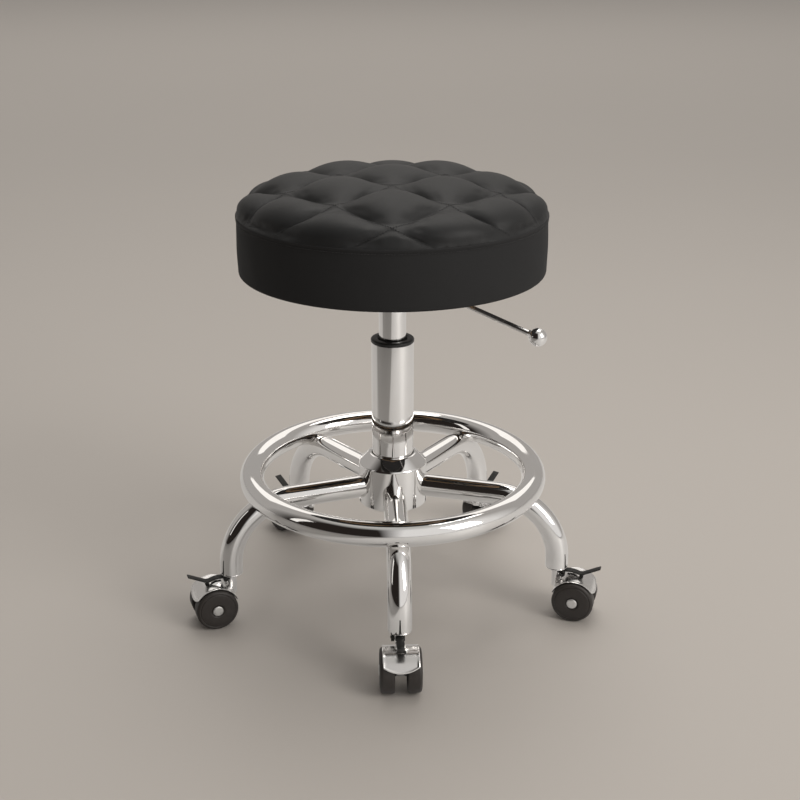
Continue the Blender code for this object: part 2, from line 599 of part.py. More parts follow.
def build_brake(number, swivel):
    """A bent strip hinged beside the stem: over the hump, down to a tongue, and out to a raised pedal."""
    pivot = BRAKE_PIVOT - Vector((STEM_R, 0, 0))
    joint = empty(f"brake_{number}_joint", swivel, pivot)
    tip = BRAKE_TIP - BRAKE_PIVOT
    low_x, low_z = 21.0 * MM, -1.2 * MM
    top = [(0, KNUCKLE_R), (5 * MM, KNUCKLE_R + 0.6 * MM), (12 * MM, KNUCKLE_R + 0.5 * MM)]
    top += [(18 * MM, KNUCKLE_R - 1.2 * MM), (low_x + 1 * MM, low_z + BRAKE_STRIP + 0.4 * MM), (tip.x, tip.z)]
    bottom = [(tip.x + 0.4 * MM, tip.z - BRAKE_STRIP), (low_x + 2.2 * MM, low_z), (low_x + 2.2 * MM, -TONGUE_DEPTH)]
    bottom += [(low_x + 0.4 * MM, -TONGUE_DEPTH), (low_x, low_z), (17 * MM, KNUCKLE_R - 3 * MM + 0.3 * MM)]
    bottom += [(11.5 * MM, KNUCKLE_R - 1.3 * MM), (5 * MM, KNUCKLE_R - 1.2 * MM), (0, KNUCKLE_R - 1.8 * MM)]
    half = BRAKE_WIDTH / 2
    strip = plate(top + bottom, -half, half)
    finish = material("brake_paint", (0.015, 0.014, 0.013), 0.4)
    lever = new_object(f"brake_lever_{number}", strip, finish, joint)
    profile = [(0, -half - 1 * MM), (KNUCKLE_R, -half - 1 * MM), (KNUCKLE_R, half + 1 * MM), (0, half + 1 * MM)]
    knuckle = turned(profile, 12, axis=(0, 1, 0))
    cut(lever, new_object(f"knuckle_helper_{number}", knuckle, finish, joint), "UNION")


def main():
    clear_scene()
    root = empty("column_axis", location=(COLUMN_X, COLUMN_Y, 0))
    lever_turn = math.radians(LEVER_DEG)
    build_hub(root)
    build_legs(root)
    build_foot_ring(root)
    build_column(root)
    build_lift(root)
    build_seat(root)
    build_seat_plate(root, lever_turn)
    build_lever(root, lever_turn)


main()
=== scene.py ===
import math

import bmesh
import bpy
from mathutils import Matrix, Vector, noise


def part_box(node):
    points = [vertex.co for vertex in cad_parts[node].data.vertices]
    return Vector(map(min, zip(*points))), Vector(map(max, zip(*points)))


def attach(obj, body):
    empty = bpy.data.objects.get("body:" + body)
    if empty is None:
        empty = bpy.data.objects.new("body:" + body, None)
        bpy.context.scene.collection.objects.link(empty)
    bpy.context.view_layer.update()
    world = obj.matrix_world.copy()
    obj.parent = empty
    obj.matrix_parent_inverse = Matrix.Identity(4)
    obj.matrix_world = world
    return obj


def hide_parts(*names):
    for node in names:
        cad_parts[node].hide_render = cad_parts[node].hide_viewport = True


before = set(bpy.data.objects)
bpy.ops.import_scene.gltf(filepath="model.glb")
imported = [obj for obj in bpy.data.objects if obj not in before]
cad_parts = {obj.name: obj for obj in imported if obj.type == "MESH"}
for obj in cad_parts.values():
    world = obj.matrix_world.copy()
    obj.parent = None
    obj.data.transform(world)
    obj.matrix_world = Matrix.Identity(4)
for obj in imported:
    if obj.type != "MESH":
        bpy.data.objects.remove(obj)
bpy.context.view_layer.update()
mm = 0.001


def middle(node):
    low, high = (Vector(corner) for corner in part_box(node))
    return (low + high) / 2


def turnedTo(node):
    # Place of a piece drawn with +X pointing from the column towards a node
    out = middle(node) - column
    return Matrix.Translation(column) @ Matrix.Rotation(math.atan2(out.y, out.x), 4, "Z")


def placed(name, data):
    # An object in the scene that shows the data
    made = bpy.data.objects.new(name, data)
    bpy.context.scene.collection.objects.link(made)
    return made


column = middle("column_tube")
column.z = 0
legs = range(1, 6)
legPlace = {k: turnedTo(f"caster_axle_{k}") for k in legs}
leverPlace = turnedTo("lever_knob")
onColumn = Matrix.Translation(column)


# Shader nodes as plain sums

class Wire:
    def __init__(self, finish, socket):
        self.finish = finish
        self.socket = socket

    def sum(self, operation, *values):
        return self.finish.node("ShaderNodeMath", {"operation": operation}, dict(enumerate(values)))

    def __add__(self, other):
        return self.sum("ADD", self, other)

    def __mul__(self, other):
        return self.sum("MULTIPLY", self, other)

    def __sub__(self, other):
        return self.sum("SUBTRACT", self, other)

    def __rsub__(self, other):
        return self.sum("SUBTRACT", other, self)

    __radd__ = __add__
    __rmul__ = __mul__


class Finish:
    def __init__(self, name, **fixed):
        self.material = bpy.data.materials.new(name)
        self.material.use_nodes = True
        self.tree = self.material.node_tree
        self.shader = self.tree.nodes["Principled BSDF"]
        for socket, value in fixed.items():
            self.feed(self.shader.inputs[socket.replace("_", " ")], value)
        self.at = self.node("ShaderNodeTexCoord", out="Object")

    def feed(self, socket, value):
        if isinstance(value, Wire):
            self.tree.links.new(value.socket, socket)
        elif isinstance(value, tuple) and len(value) == 3 and socket.type == "RGBA":
            socket.default_value = (*value, 1)
        else:
            socket.default_value = value

    def node(self, kind, settings=None, sockets=None, out=0):
        made = self.tree.nodes.new(kind)
        for key, value in (settings or {}).items():
            setattr(made, key, value)
        for key, value in (sockets or {}).items():
            self.feed(made.inputs[key], value)
        return Wire(self, made.outputs[out])

    def stretched(self, scale):
        return self.node("ShaderNodeMapping", {}, {"Vector": self.at, "Scale": scale})

    def along(self, axis):
        return self.node("ShaderNodeSeparateXYZ", {}, {"Vector": self.at}, axis)

    def noise(self, scale, detail=3, rough=0.5, at=None):
        sockets = {"Vector": at or self.at, "Scale": scale, "Detail": detail, "Roughness": rough}
        return self.node("ShaderNodeTexNoise", {}, sockets)

    def cells(self, scale, feature="F1", at=None):
        sockets = {"Vector": at or self.at, "Scale": scale}
        return self.node("ShaderNodeTexVoronoi", {"feature": feature}, sockets, "Distance")

    def ramp(self, value, low, high, start=0.0, end=1.0):
        return self.node("ShaderNodeMapRange", {}, {0: value, 1: low, 2: high, 3: start, 4: end})

    def blend(self, mask, first, second):
        return self.node("ShaderNodeMix", {"data_type": "RGBA"}, {0: mask, 6: first, 7: second}, 2)

    def bump(self, height, distance, strength=1.0, under=None):
        sockets = {"Height": height, "Distance": distance, "Strength": strength}
        if under:
            sockets["Normal"] = under
        return self.node("ShaderNodeBump", {}, sockets)

    def use(self, **varying):
        for socket, value in varying.items():
            self.feed(self.shader.inputs[socket.replace("_", " ")], value)
        return self.material


def chrome(name, tint=(0.84, 0.83, 0.82), polish=0.045, wave=0.03 * mm):
    made = Finish(name, Metallic=1.0)
    smudge = made.ramp(made.noise(14, 5, 0.6), 0.5, 0.75)
    dust = made.ramp(made.noise(900, 2, 0.6), 0.55, 0.8)
    hairline = made.ramp(made.noise(60, 3, 0.7, made.stretched((1, 9, 14))), 0.56, 0.7)
    touched = made.ramp(made.cells(75), 0.0, 0.16, 1.0, 0.0) * smudge
    rough = polish + 0.05 * smudge + 0.03 * hairline + 0.05 * touched + 0.03 * dust
    worn = tuple(part * shade for part, shade in zip(tint, (0.93, 0.9, 0.87)))
    colour = made.blend(smudge * 0.45 + dust * 0.12, tint, worn)
    ripple = made.bump(made.noise(38, 2, 0.4), wave)
    fine = made.bump(made.noise(700, 3, 0.6), 0.002 * mm, 0.5, ripple)
    return made.use(Base_Color=colour, Roughness=rough, Normal=fine)


def steel(name, tint=(0.5, 0.49, 0.48), rough=0.3):
    made = Finish(name, Metallic=1.0)
    grain = made.noise(240, 4, 0.65, made.stretched((1, 1, 9)))
    stain = made.ramp(made.noise(55, 4, 0.6), 0.45, 0.75)
    dark = tuple(part * 0.72 for part in tint)
    normal = made.bump(grain, 0.01 * mm, 0.6)
    return made.use(
        Base_Color=made.blend(stain * 0.6 + grain * 0.2, tint, dark),
        Roughness=rough + 0.12 * grain + 0.1 * stain,
        Normal=normal,
    )


def leather(name, tint=(0.017, 0.0172, 0.0175), shine=0.46, glint=0.24):
    made = Finish(name, Specular_IOR_Level=glint)
    pebble = made.cells(950, "SMOOTH_F1")
    pores = made.ramp(made.cells(2100), 0.0, 0.22)
    fold = made.noise(150, 6, 0.7)
    crease = made.ramp(fold, 0.44, 0.5) * made.ramp(fold, 0.5, 0.56, 1, 0)
    cloud = made.noise(16, 4, 0.6)
    handled = made.ramp(made.noise(7, 3, 0.5), 0.42, 0.7)
    pale = tuple(part * 1.35 for part in tint)
    colour = made.blend(cloud * 0.7 + pebble * 0.3, tint, pale)
    rough = shine + 0.12 * cloud + 0.06 * pebble - 0.07 * handled
    grain = made.bump(pebble * 0.7 + pores * 0.3, 0.09 * mm, 0.55)
    lines = made.bump(crease, 0.05 * mm, 0.35, grain)
    soft = made.bump(made.noise(45, 3, 0.5), 0.25 * mm, 0.35, lines)
    return made.use(Base_Color=colour, Roughness=rough, Normal=soft)


def plastic(name, tint=(0.022, 0.019, 0.017), rough=0.42, scuffed=0.25):
    made = Finish(name, Specular_IOR_Level=0.5)
    speck = made.noise(1500, 2, 0.6)
    scuff = made.ramp(made.noise(120, 6, 0.75), 0.52, 0.68) * scuffed
    pale = tuple(part * 2.2 + 0.012 for part in tint)
    return made.use(
        Base_Color=made.blend(scuff + speck * 0.12, tint, pale),
        Roughness=rough + 0.35 * scuff + 0.08 * speck,
        Normal=made.bump(speck, 0.03 * mm, 0.5),
    )


def paint(name, tint=(0.01, 0.0095, 0.009), rough=0.42):
    made = Finish(name, Specular_IOR_Level=0.2)
    orange = made.noise(420, 2, 0.5)
    edge = made.node("ShaderNodeNewGeometry", out="Pointiness")
    chipped = made.ramp(edge, 0.53, 0.6) * made.ramp(made.noise(500, 4, 0.7), 0.5, 0.62)
    cloud = made.noise(40, 4, 0.6)
    return made.use(
        Base_Color=made.blend(chipped * 0.8 + cloud * 0.08, tint, (0.2, 0.19, 0.18)),
        Roughness=rough + 0.14 * cloud + 0.1 * chipped,
        Metallic=chipped * 0.9,
        Normal=made.bump(orange, 0.04 * mm, 0.5),
    )


def plywood(name):
    made = Finish(name)
    grain = made.noise(22, 6, 0.65, made.stretched((1, 14, 1)))
    line = made.ramp(made.noise(50, 4, 0.6, made.stretched((0.6, 26, 1))), 0.5, 0.66)
    colour = made.blend(grain, (0.5, 0.34, 0.19), (0.3, 0.18, 0.09))
    return made.use(
        Base_Color=made.blend(line * 0.5, colour, (0.2, 0.11, 0.05)),
        Roughness=0.62 + 0.2 * grain,
        Normal=made.bump(grain + line, 0.12 * mm, 0.5),
    )


def cloth(name, tint=(0.018, 0.018, 0.02)):
    made = Finish(name, Sheen_Weight=0.2)
    fibre = made.noise(1400, 4, 0.7)
    pits = made.cells(520)
    pale = tuple(part * 2.4 for part in tint)
    return made.use(
        Base_Color=made.blend(fibre, tint, pale),
        Roughness=0.8 + 0.15 * fibre,
        Normal=made.bump(pits * 0.6 + fibre * 0.4, 0.15 * mm, 0.6),
    )


baseChrome = chrome("base_chrome_polish")
liftChrome = chrome("lift_chrome_polish", (0.85, 0.84, 0.83), 0.04)
hoodChrome = chrome("hood_satin_chrome", (0.82, 0.81, 0.8), 0.2, 0.02 * mm)
stemSteel = steel("turned_steel")
capSteel = steel("axle_cap_steel", (0.72, 0.71, 0.69), 0.34)
springSteel = steel("blackened_spring_steel", (0.05, 0.048, 0.045), 0.4)
coverLeather = leather("quilted_leatherette")
bandLeather = leather("band_leatherette", (0.026, 0.026, 0.0265), 0.62, 0.07)
thread = cloth("black_thread", (0.012, 0.012, 0.013))
wheelPlastic = plastic("wheel_plastic", (0.026, 0.021, 0.018), 0.44, 0.3)
bushPlastic = plastic("bush_plastic", (0.012, 0.012, 0.012), 0.36, 0.12)
blackPaint = paint("black_stove_paint")
boardWood = plywood("birch_board")
undercloth = cloth("dust_cloth")
print("finishes made")


# Mesh helpers

def softened(outline, radius, steps=4, closed=True):
    # The outline with its corners rounded; the ends of an open one stay
    points = [Vector((across, up)) for across, up in outline]
    soft = []
    count = len(points)
    for index, corner in enumerate(points):
        if not closed and index in (0, count - 1):
            soft.append(corner)
            continue
        back = points[index - 1] - corner
        ahead = points[(index + 1) % count] - corner
        start = corner + back.normalized() * min(radius, back.length * 0.45)
        end = corner + ahead.normalized() * min(radius, ahead.length * 0.45)
        for step in range(steps + 1):
            t = step / steps
            soft.append(start * (1 - t) ** 2 + corner * (2 * t * (1 - t)) + end * t ** 2)
    return [tuple(point) for point in soft]


def turned(profile, steps, closed=True):
    # Spin an outline of (radius, height) in millimetres about Z
    bm = bmesh.new()
    ring = [bm.verts.new((radius * mm, 0, height * mm)) for radius, height in profile]
    edges = [bm.edges.new(pair) for pair in zip(ring, ring[1:])]
    if closed:
        edges.append(bm.edges.new((ring[-1], ring[0])))
    bmesh.ops.spin(
        bm, geom=ring + edges, cent=(0, 0, 0), axis=(0, 0, 1), angle=math.tau, steps=steps, use_merge=True
    )
    return bm


def moved(bm, *matrices):
    for matrix in matrices:
        bm.transform(matrix)
    return bm


def toward(direction, place=(0, 0, 0)):
    turn = Vector((0, 0, 1)).rotation_difference(Vector(direction)).to_matrix().to_4x4()
    return Matrix.Translation(Vector(place) * mm) @ turn


def slab(outline, halfWidth, edge=0.4, segments=2):
    # An outline of (x, z) given width along Y, with its edges bevelled
    bm = bmesh.new()
    face = bm.faces.new([bm.verts.new((x * mm, -halfWidth * mm, z * mm)) for x, z in outline])
    grown = bmesh.ops.extrude_face_region(bm, geom=[face])["geom"]
    verts = [item for item in grown if isinstance(item, bmesh.types.BMVert)]
    bmesh.ops.translate(bm, vec=(0, 2 * halfWidth * mm, 0), verts=verts)
    bmesh.ops.recalc_face_normals(bm, faces=bm.faces)
    sharp = [e for e in bm.edges if len(e.link_faces) == 2 and e.calc_face_angle() > math.radians(50)]
    bmesh.ops.bevel(
        bm, geom=sharp, offset=edge * mm, segments=segments, profile=0.5, affect="EDGES", material=-1,
        clamp_overlap=True,
    )
    return bm


def joined(*parts):
    # One bmesh from several
    whole = bmesh.new()
    for part in parts:
        holder = bpy.data.meshes.new("part")
        part.to_mesh(holder)
        part.free()
        whole.from_mesh(holder)
        bpy.data.meshes.remove(holder)
    return whole


def piece(name, bm, finish, body, replaced=(), place=None, sharp=38):
    bmesh.ops.remove_doubles(bm, verts=bm.verts, dist=0.002 * mm)
    bmesh.ops.recalc_face_normals(bm, faces=bm.faces)
    if place:
        bm.transform(place)
    mesh = bpy.data.meshes.new(name)
    bm.to_mesh(mesh)
    bm.free()
    mesh.shade_smooth()
    mesh.set_sharp_from_angle(angle=math.radians(sharp))
    mesh.materials.append(finish)
    made = placed(name, mesh)
    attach(made, body)
    if replaced:
        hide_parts(*replaced)
    return made


# Foot ring, legs and hub

ringSize = {"radius": 170.5, "tube": 14.3, "height": 160.8, "steps": 180, "sides": 36}


def makeFootRing(size):
    bm = bmesh.new()
    loop = bmesh.ops.create_circle(bm, segments=size["sides"], radius=size["tube"] * mm)["verts"]
    place = Matrix.Translation((size["radius"] * mm, 0, size["height"] * mm))
    bmesh.ops.transform(bm, matrix=place @ Matrix.Rotation(math.pi / 2, 4, "X"), verts=loop)
    bmesh.ops.spin(
        bm, geom=bm.verts[:] + bm.edges[:], cent=(0, 0, 0), axis=(0, 0, 1), angle=math.tau,
        steps=size["steps"], use_merge=True,
    )
    piece("foot_ring_tube", bm, baseChrome, "base", ["foot_ring"], onColumn)


legSize = {
    "tube": 13.5, "wall": 2.0, "height": 148.0, "start": 36.0, "straight": 130.0, "bend": 75.0,
    "end": 62.0, "sides": 36, "bendSteps": 28, "lip": 0.7, "lipShare": 0.945, "inside": 9.0,
    "rivetAt": 104.0, "rivet": 4.2, "rivetSunk": 0.6,
    "button": [(0, 0), (1, 0), (1, 2.2), (0.82, 4.0), (0.4, 5.0), (0, 5.2)],  # share of the radius, depth
}


def grow(bm, edges, matrix):
    # Extrude an open loop of edges and return the new loop
    made = bmesh.ops.extrude_edge_only(bm, edges=edges)["geom"]
    verts = [item for item in made if isinstance(item, bmesh.types.BMVert)]
    bmesh.ops.transform(bm, matrix=matrix, verts=verts)
    fresh = set(verts)
    return [e for e in made if isinstance(e, bmesh.types.BMEdge) and set(e.verts) <= fresh]


def makeLegs(size):
    bendZ = size["height"] - size["bend"]
    reach = size["straight"] + size["bend"]
    for k in legs:
        bm = bmesh.new()
        bmesh.ops.create_circle(bm, segments=size["sides"], radius=size["tube"] * mm)
        start = Matrix.Translation((size["start"] * mm, 0, size["height"] * mm))
        moved(bm, Matrix.Rotation(math.pi / 2, 4, "Y"), start)
        loop = grow(bm, bm.edges[:], Matrix.Translation(((size["straight"] - size["start"]) * mm, 0, 0)))
        ends = bmesh.ops.spin(
            bm, geom=loop + list({v for e in loop for v in e.verts}),
            cent=(size["straight"] * mm, 0, bendZ * mm), axis=(0, 1, 0), angle=math.pi / 2,
            steps=size["bendSteps"],
        )["geom_last"]
        loop = [item for item in ends if isinstance(item, bmesh.types.BMEdge)]
        loop = grow(bm, loop, Matrix.Translation((0, 0, (size["end"] + size["lip"] - bendZ) * mm)))
        bore = 1 - size["wall"] / size["tube"]
        for share, height in ((size["lipShare"], -size["lip"]), (bore, 0.0), (1.0, size["inside"])):
            about = Matrix.Translation((reach * mm, 0, 0))
            narrow = about @ Matrix.Diagonal((share, share, 1, 1)) @ about.inverted()
            loop = grow(bm, loop, Matrix.Translation((0, 0, height * mm)) @ narrow)
        piece(f"leg_tube_{k}", bm, baseChrome, "base", [f"leg_{k}"], legPlace[k], 30)
        top = size["height"] - size["tube"] + size["rivetSunk"]
        cap = [(size["rivet"] * share, top - down) for share, down in size["button"]]
        bm = turned(softened(cap, 1.0, closed=False), 32, closed=False)
        at = legPlace[k] @ Matrix.Translation((size["rivetAt"] * mm, 0, 0))
        piece(f"leg_button_{k}", bm, baseChrome, "base", [f"leg_rivet_{k}"], at, 50)


hubSize = {
    "profile": [
        (24.4, 126), (27.4, 126), (28, 172), (38, 172), (38, 125), (41, 125), (41, 176), (28.2, 188.4),
        (25.2, 188.4), (24.6, 184),
    ],
    "corner": 1.5, "steps": 128,
}


def makeHub(size):
    bm = turned(softened(size["profile"], size["corner"], 5), size["steps"])
    piece("hub_shell", bm, baseChrome, "base", ["hub"], onColumn, 35)


makeFootRing(ringSize)
makeLegs(legSize)
makeHub(hubSize)
print("base made")


# Column and gas lift

liftSize = {
    "sleeve": [
        (23.2, 128), (23.7, 170), (24.4, 188), (24.9, 202), (25.0, 240), (25.0, 328), (22.7, 328),
        (22.7, 200), (21.7, 176), (21.7, 131), (5.4, 131), (5.4, 128),
    ],
    "bush": [
        (16.4, 288), (22.4, 288), (22.4, 327.9), (25.5, 328.2), (25.6, 331.0), (24.6, 332.4), (19.0, 332.6),
        (17.2, 331.2), (16.4, 329),
    ],
    "cylinder": [
        (5.4, 208), (16.0, 208), (16.0, 382), (14.0, 385), (14.0, 400), (3.9, 400), (3.9, 384), (10.0, 384),
        (13.0, 378), (13.0, 214), (5.4, 214),
    ],
    "steps": (128, 96),
}


def makeLift(size):
    fine, coarse = size["steps"]
    bm = turned(softened(size["sleeve"], 0.8, 3), fine)
    piece("column_sleeve", bm, liftChrome, "base", ["column_tube"], onColumn, 30)
    bm = turned(softened(size["bush"], 0.6, 3), coarse)
    piece("column_bush_ring", bm, bushPlastic, "base", ["column_bush"], onColumn, 35)
    bm = turned(softened(size["cylinder"], 0.9, 3), coarse)
    piece("gas_cylinder_tube", bm, liftChrome, "seat", ["gas_cylinder"], onColumn, 35)


makeLift(liftSize)
print("lift made")


# Seat

coverLow, coverHigh = (Vector(corner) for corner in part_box("quilted_top"))
seat = {
    "radius": (coverHigh.x - coverLow.x) / 2 / mm,
    "seam": coverLow.z / mm,
    "crown": (coverHigh.z - coverLow.z) / mm - 1.2,
    "edge": 0.36,          # how flat the top is: 0.5 is an ellipse
    "across": 61.9,        # half a diamond, side to side
    "along": 66.7,         # half a diamond, front to back
    "crossing": -41.7,     # one crossing of the sewn lines, forward of the middle
    "cells": 8,
    "perCell": 18,
    "squeeze": (0.062, 2.4),
    "fan": 0.16,           # how far the lines spread at the rim
    "frontFan": 0.045,
    "fanPower": 5,
    "valley": 12.0,        # depth of the sewn lines
    "rimShare": 0.58,      # part of that depth left at the rim
    "deepAfter": 70,       # distance from the rim to the full depth
    "rimFade": 6,
    "pillow": 0.66,
    "fade": 0.3,
    "lifted": 0.3,
    "skirt": ((0.982, -2.0), (0.97, -9.0)),  # the turned-in edge: share of the radius, drop
}


def crownCurve(size, count=600):
    # (distance over the top, radius, height) from the middle to the rim
    points = []
    travelled = 0
    before = Vector((0, size["crown"]))
    for step in range(count + 1):
        angle = math.pi / 2 * (1 - step / count)
        across = size["radius"] * math.cos(angle)
        here = Vector((across, size["crown"] * math.sin(angle) ** (2 * size["edge"])))
        travelled += (here - before).length
        before = here
        points.append((travelled, here.x, here.y + size["seam"]))
    return points


curve = crownCurve(seat)


def onCrown(distance):
    # Radius, height and outward normal at a distance over the top
    low, high = 0, len(curve) - 1
    distance = min(distance, curve[-1][0])
    while high - low > 1:
        half = (low + high) // 2
        if curve[half][0] <= distance:
            low = half
        else:
            high = half
    (s0, r0, z0), (s1, r1, z1) = curve[low], curve[high]
    t = (distance - s0) / (s1 - s0)
    run = Vector((r1 - r0, z1 - z0)).normalized()
    return r0 + (r1 - r0) * t, z0 + (z1 - z0) * t, Vector((-run.y, run.x))


def flatFromLattice(distance, size):
    amount, power = size["squeeze"]
    return distance * (1 - amount * (distance / size["radius"]) ** power)


def latticeRim(size):
    low, high = size["radius"], size["radius"] * 1.5
    for _ in range(40):
        half = (low + high) / 2
        if flatFromLattice(half, size) < curve[-1][0]:
            low = half
        else:
            high = half
    return low


rimDistance = latticeRim(seat)


def puffAt(u, v, size):
    # Fullness of a tuft, from 0 on its sewn lines to 1, and the lift at a crossing, where the lines fade
    u, v = u - math.floor(u), v - math.floor(v)
    fu, fv = 4 * u * (1 - u), 4 * v * (1 - v)
    su = math.hypot(fu, size["fade"] * (1 - fv) ** 2)
    sv = math.hypot(fv, size["fade"] * (1 - fu) ** 2)
    return min(su * sv, 1.0) ** size["pillow"], size["lifted"] * (1 - fu) * (1 - fv)


def coverPoint(u, v, size, lift=0.0):
    # Point of the quilted top at (u, v), whole numbers being sewn lines; lift is along the normal
    x = size["across"] * (u - v)
    y = size["along"] * (u + v) + size["crossing"]
    reach = math.hypot(x, y)
    distance = flatFromLattice(reach, size)
    share = min(distance / curve[-1][0], 1.0)
    angle = math.atan2(x, -y)
    spread = size["fan"] * math.sin(2 * angle) + size["frontFan"] * math.sin(4 * angle)
    angle += spread * share ** size["fanPower"]
    radius, height, normal = onCrown(distance)
    puff, lifted = puffAt(u, v, size)
    inward = min((curve[-1][0] - distance) / size["deepAfter"], 1.0)
    depth = size["valley"] * (size["rimShare"] + (1 - size["rimShare"]) * math.sin(inward * math.pi / 2))
    depth *= min((curve[-1][0] - distance) / size["rimFade"], 1.0)
    sunk = lift - depth * (1 - puff) * (1 - lifted)
    radius += normal.x * sunk
    height += normal.y * sunk
    return Vector((radius * math.sin(angle) * mm, -radius * math.cos(angle) * mm, height * mm))


def clippedLattice(size):
    # A flat grid along the sewn lines, cut to the cover's outline
    count = size["cells"] * size["perCell"]
    bm = bmesh.new()
    bmesh.ops.create_grid(bm, x_segments=count, y_segments=count, size=size["cells"] / 2)
    for vert in bm.verts:
        u, v = (tighter(value) for value in vert.co.xy)
        vert.co = (size["across"] * (u - v), size["along"] * (u + v) + size["crossing"], 0)
    sides = 180
    for step in range(sides):
        turn = math.tau * step / sides
        way = Vector((math.cos(turn), math.sin(turn), 0))
        if max(v.co.dot(way) for v in bm.verts) > rimDistance:
            bmesh.ops.bisect_plane(
                bm, geom=bm.verts[:] + bm.edges[:] + bm.faces[:], plane_co=way * rimDistance, plane_no=way,
                clear_outer=True, dist=0.01,
            )
    edge = [v for v in bm.verts if v.co.length > rimDistance - 6]
    bmesh.ops.remove_doubles(bm, verts=edge, dist=1.9)
    for vert in bm.verts:
        if vert.is_boundary:
            vert.co *= rimDistance / vert.co.length
    return bm


def tighter(value, amount=0.42):
    # Draws grid lines in towards the sewn lines
    whole = math.floor(value + 1e-6)
    part = value - whole
    return whole + part - amount * math.sin(math.tau * part) / math.tau


def latticeOf(point, size):
    x, y = point.x / size["across"], (point.y - size["crossing"]) / size["along"]
    return (y + x) / 2, (y - x) / 2


inflation = {
    "cap": 1.8, "frames": 20,
    "settings": {
        "quality": 6, "mass": 0.25, "tension_stiffness": 12, "compression_stiffness": 12,
        "shear_stiffness": 6, "bending_stiffness": 0.6, "use_pressure": True, "uniform_pressure_force": 4.0,
        "shrink_min": -0.02,
    },
}


def pressed(cover, held, room, size):
    # Blow the cover up between its sewn lines; room is the share of the cap that each point may move
    group = cover.vertex_groups.new(name="held")
    group.add(held, 1.0, "REPLACE")
    start = [vert.co.copy() for vert in cover.data.vertices]
    sim = cover.modifiers.new("inflate", "CLOTH")
    sim.settings.vertex_group_mass = "held"
    for key, value in size["settings"].items():
        setattr(sim.settings, key, value)
    sim.settings.effector_weights.gravity = 0
    sim.collision_settings.use_collision = False
    sim.point_cache.frame_end = size["frames"]
    for number in range(1, size["frames"] + 1):
        bpy.context.scene.frame_set(number)
    settled = cover.evaluated_get(bpy.context.evaluated_depsgraph_get()).data
    ends = [vert.co.copy() for vert in settled.vertices]
    cover.modifiers.remove(sim)
    for vert, before, after, share in zip(cover.data.vertices, start, ends, room):
        shift = after - before
        limit = size["cap"] * mm * share
        if shift.length > limit:
            shift *= limit / shift.length
        vert.co = before + shift
    bpy.context.scene.frame_set(1)


def makeQuiltedTop(size):
    bm = clippedLattice(size)
    places = [latticeOf(vert.co, size) for vert in bm.verts]
    bmesh.ops.recalc_face_normals(bm, faces=bm.faces)
    crease = bm.edges.layers.float.new("crease_edge")
    near = 0.004
    lines = []
    for u, v in places:
        lines.append((abs(u - round(u)) < near, abs(v - round(v)) < near))
    held = []
    bm.verts.index_update()
    for vert in bm.verts:
        if any(lines[vert.index]) or vert.is_boundary:
            held.append(vert.index)
    for edge in bm.edges:
        a, b = (lines[vert.index] for vert in edge.verts)
        if (a[0] and b[0]) or (a[1] and b[1]):
            edge[crease] = 0.55
    for vert, (u, v) in zip(bm.verts, places):
        vert.co = coverPoint(u, v, size)
    if sum(face.normal.z for face in bm.faces) < 0:
        bmesh.ops.reverse_faces(bm, faces=bm.faces)
    mesh = bpy.data.meshes.new("quilted_cover")
    bm.to_mesh(mesh)
    bm.free()
    cover = placed("quilted_cover", mesh)
    pressed(cover, held, [puffAt(u, v, size)[0] for u, v in places], inflation)
    bm = bmesh.new()
    bm.from_mesh(mesh)
    crease = bm.edges.layers.float.get("crease_edge")
    rim = [edge for edge in bm.edges if edge.is_boundary]
    for edge in rim:
        edge[crease] = 0.8
    for inward, down in size["skirt"]:
        flat = Matrix.Diagonal((inward, inward, 1, 1))
        rim = grow(bm, rim, Matrix.Translation((0, 0, down * mm)) @ flat)
    bmesh.ops.edgeloop_fill(bm, edges=rim)
    bmesh.ops.recalc_face_normals(bm, faces=bm.faces)
    bm.transform(onColumn)
    bm.to_mesh(mesh)
    bm.free()
    mesh.shade_smooth()
    mesh.materials.append(coverLeather)
    smooth = cover.modifiers.new("smooth", "SUBSURF")
    smooth.levels = smooth.render_levels = 1
    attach(cover, "seat")
    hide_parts("quilted_top", "seat_foam")
    print("quilted top:", len(mesh.polygons), "faces")


quiltStitch = {"pitch": 3.6, "length": 2.5, "thick": 0.32, "lift": 0.35, "clear": 4}
seamStitch = {"out": 0.12, "pitch": 3.4, "share": 0.72, "thick": 0.3, "down": 4.2}


def makeQuiltStitches(size, sewn):
    # Lockstitches along the bottoms of the sewn lines
    bm = bmesh.new()
    half = size["cells"] // 2
    stride = sewn["pitch"] / math.hypot(size["across"], size["along"])
    for line in range(-half, half + 1):
        for step in range(int(-half / stride), int(half / stride)):
            for swapped in (False, True):
                ends = []
                for along in (step * stride, (step + sewn["length"] / sewn["pitch"]) * stride):
                    u, v = (along, line) if swapped else (line, along)
                    x = size["across"] * (u - v)
                    y = size["along"] * (u + v) + size["crossing"]
                    if math.hypot(x, y) < rimDistance - sewn["clear"]:
                        ends.append(coverPoint(u, v, size, sewn["lift"]))
                if len(ends) == 2:
                    addStitch(bm, *ends, sewn["thick"])
    piece("quilt_stitching", bm, thread, "seat", place=onColumn, sharp=60)


def oneStitch():
    bm = bmesh.new()
    bmesh.ops.create_uvsphere(bm, u_segments=6, v_segments=4, radius=1)
    mesh = bpy.data.meshes.new("one_stitch")
    bm.to_mesh(mesh)
    bm.free()
    return mesh


stitch = oneStitch()


def addStitch(bm, start, end, thick):
    run = end - start
    place = Matrix.Translation((start + end) / 2)
    place = place @ Vector((0, 0, 1)).rotation_difference(run).to_matrix().to_4x4()
    place = place @ Matrix.Diagonal((thick * mm, thick * mm, run.length / 2, 1))
    copied = stitch.copy()
    copied.transform(place)
    bm.from_mesh(copied)
    bpy.data.meshes.remove(copied)


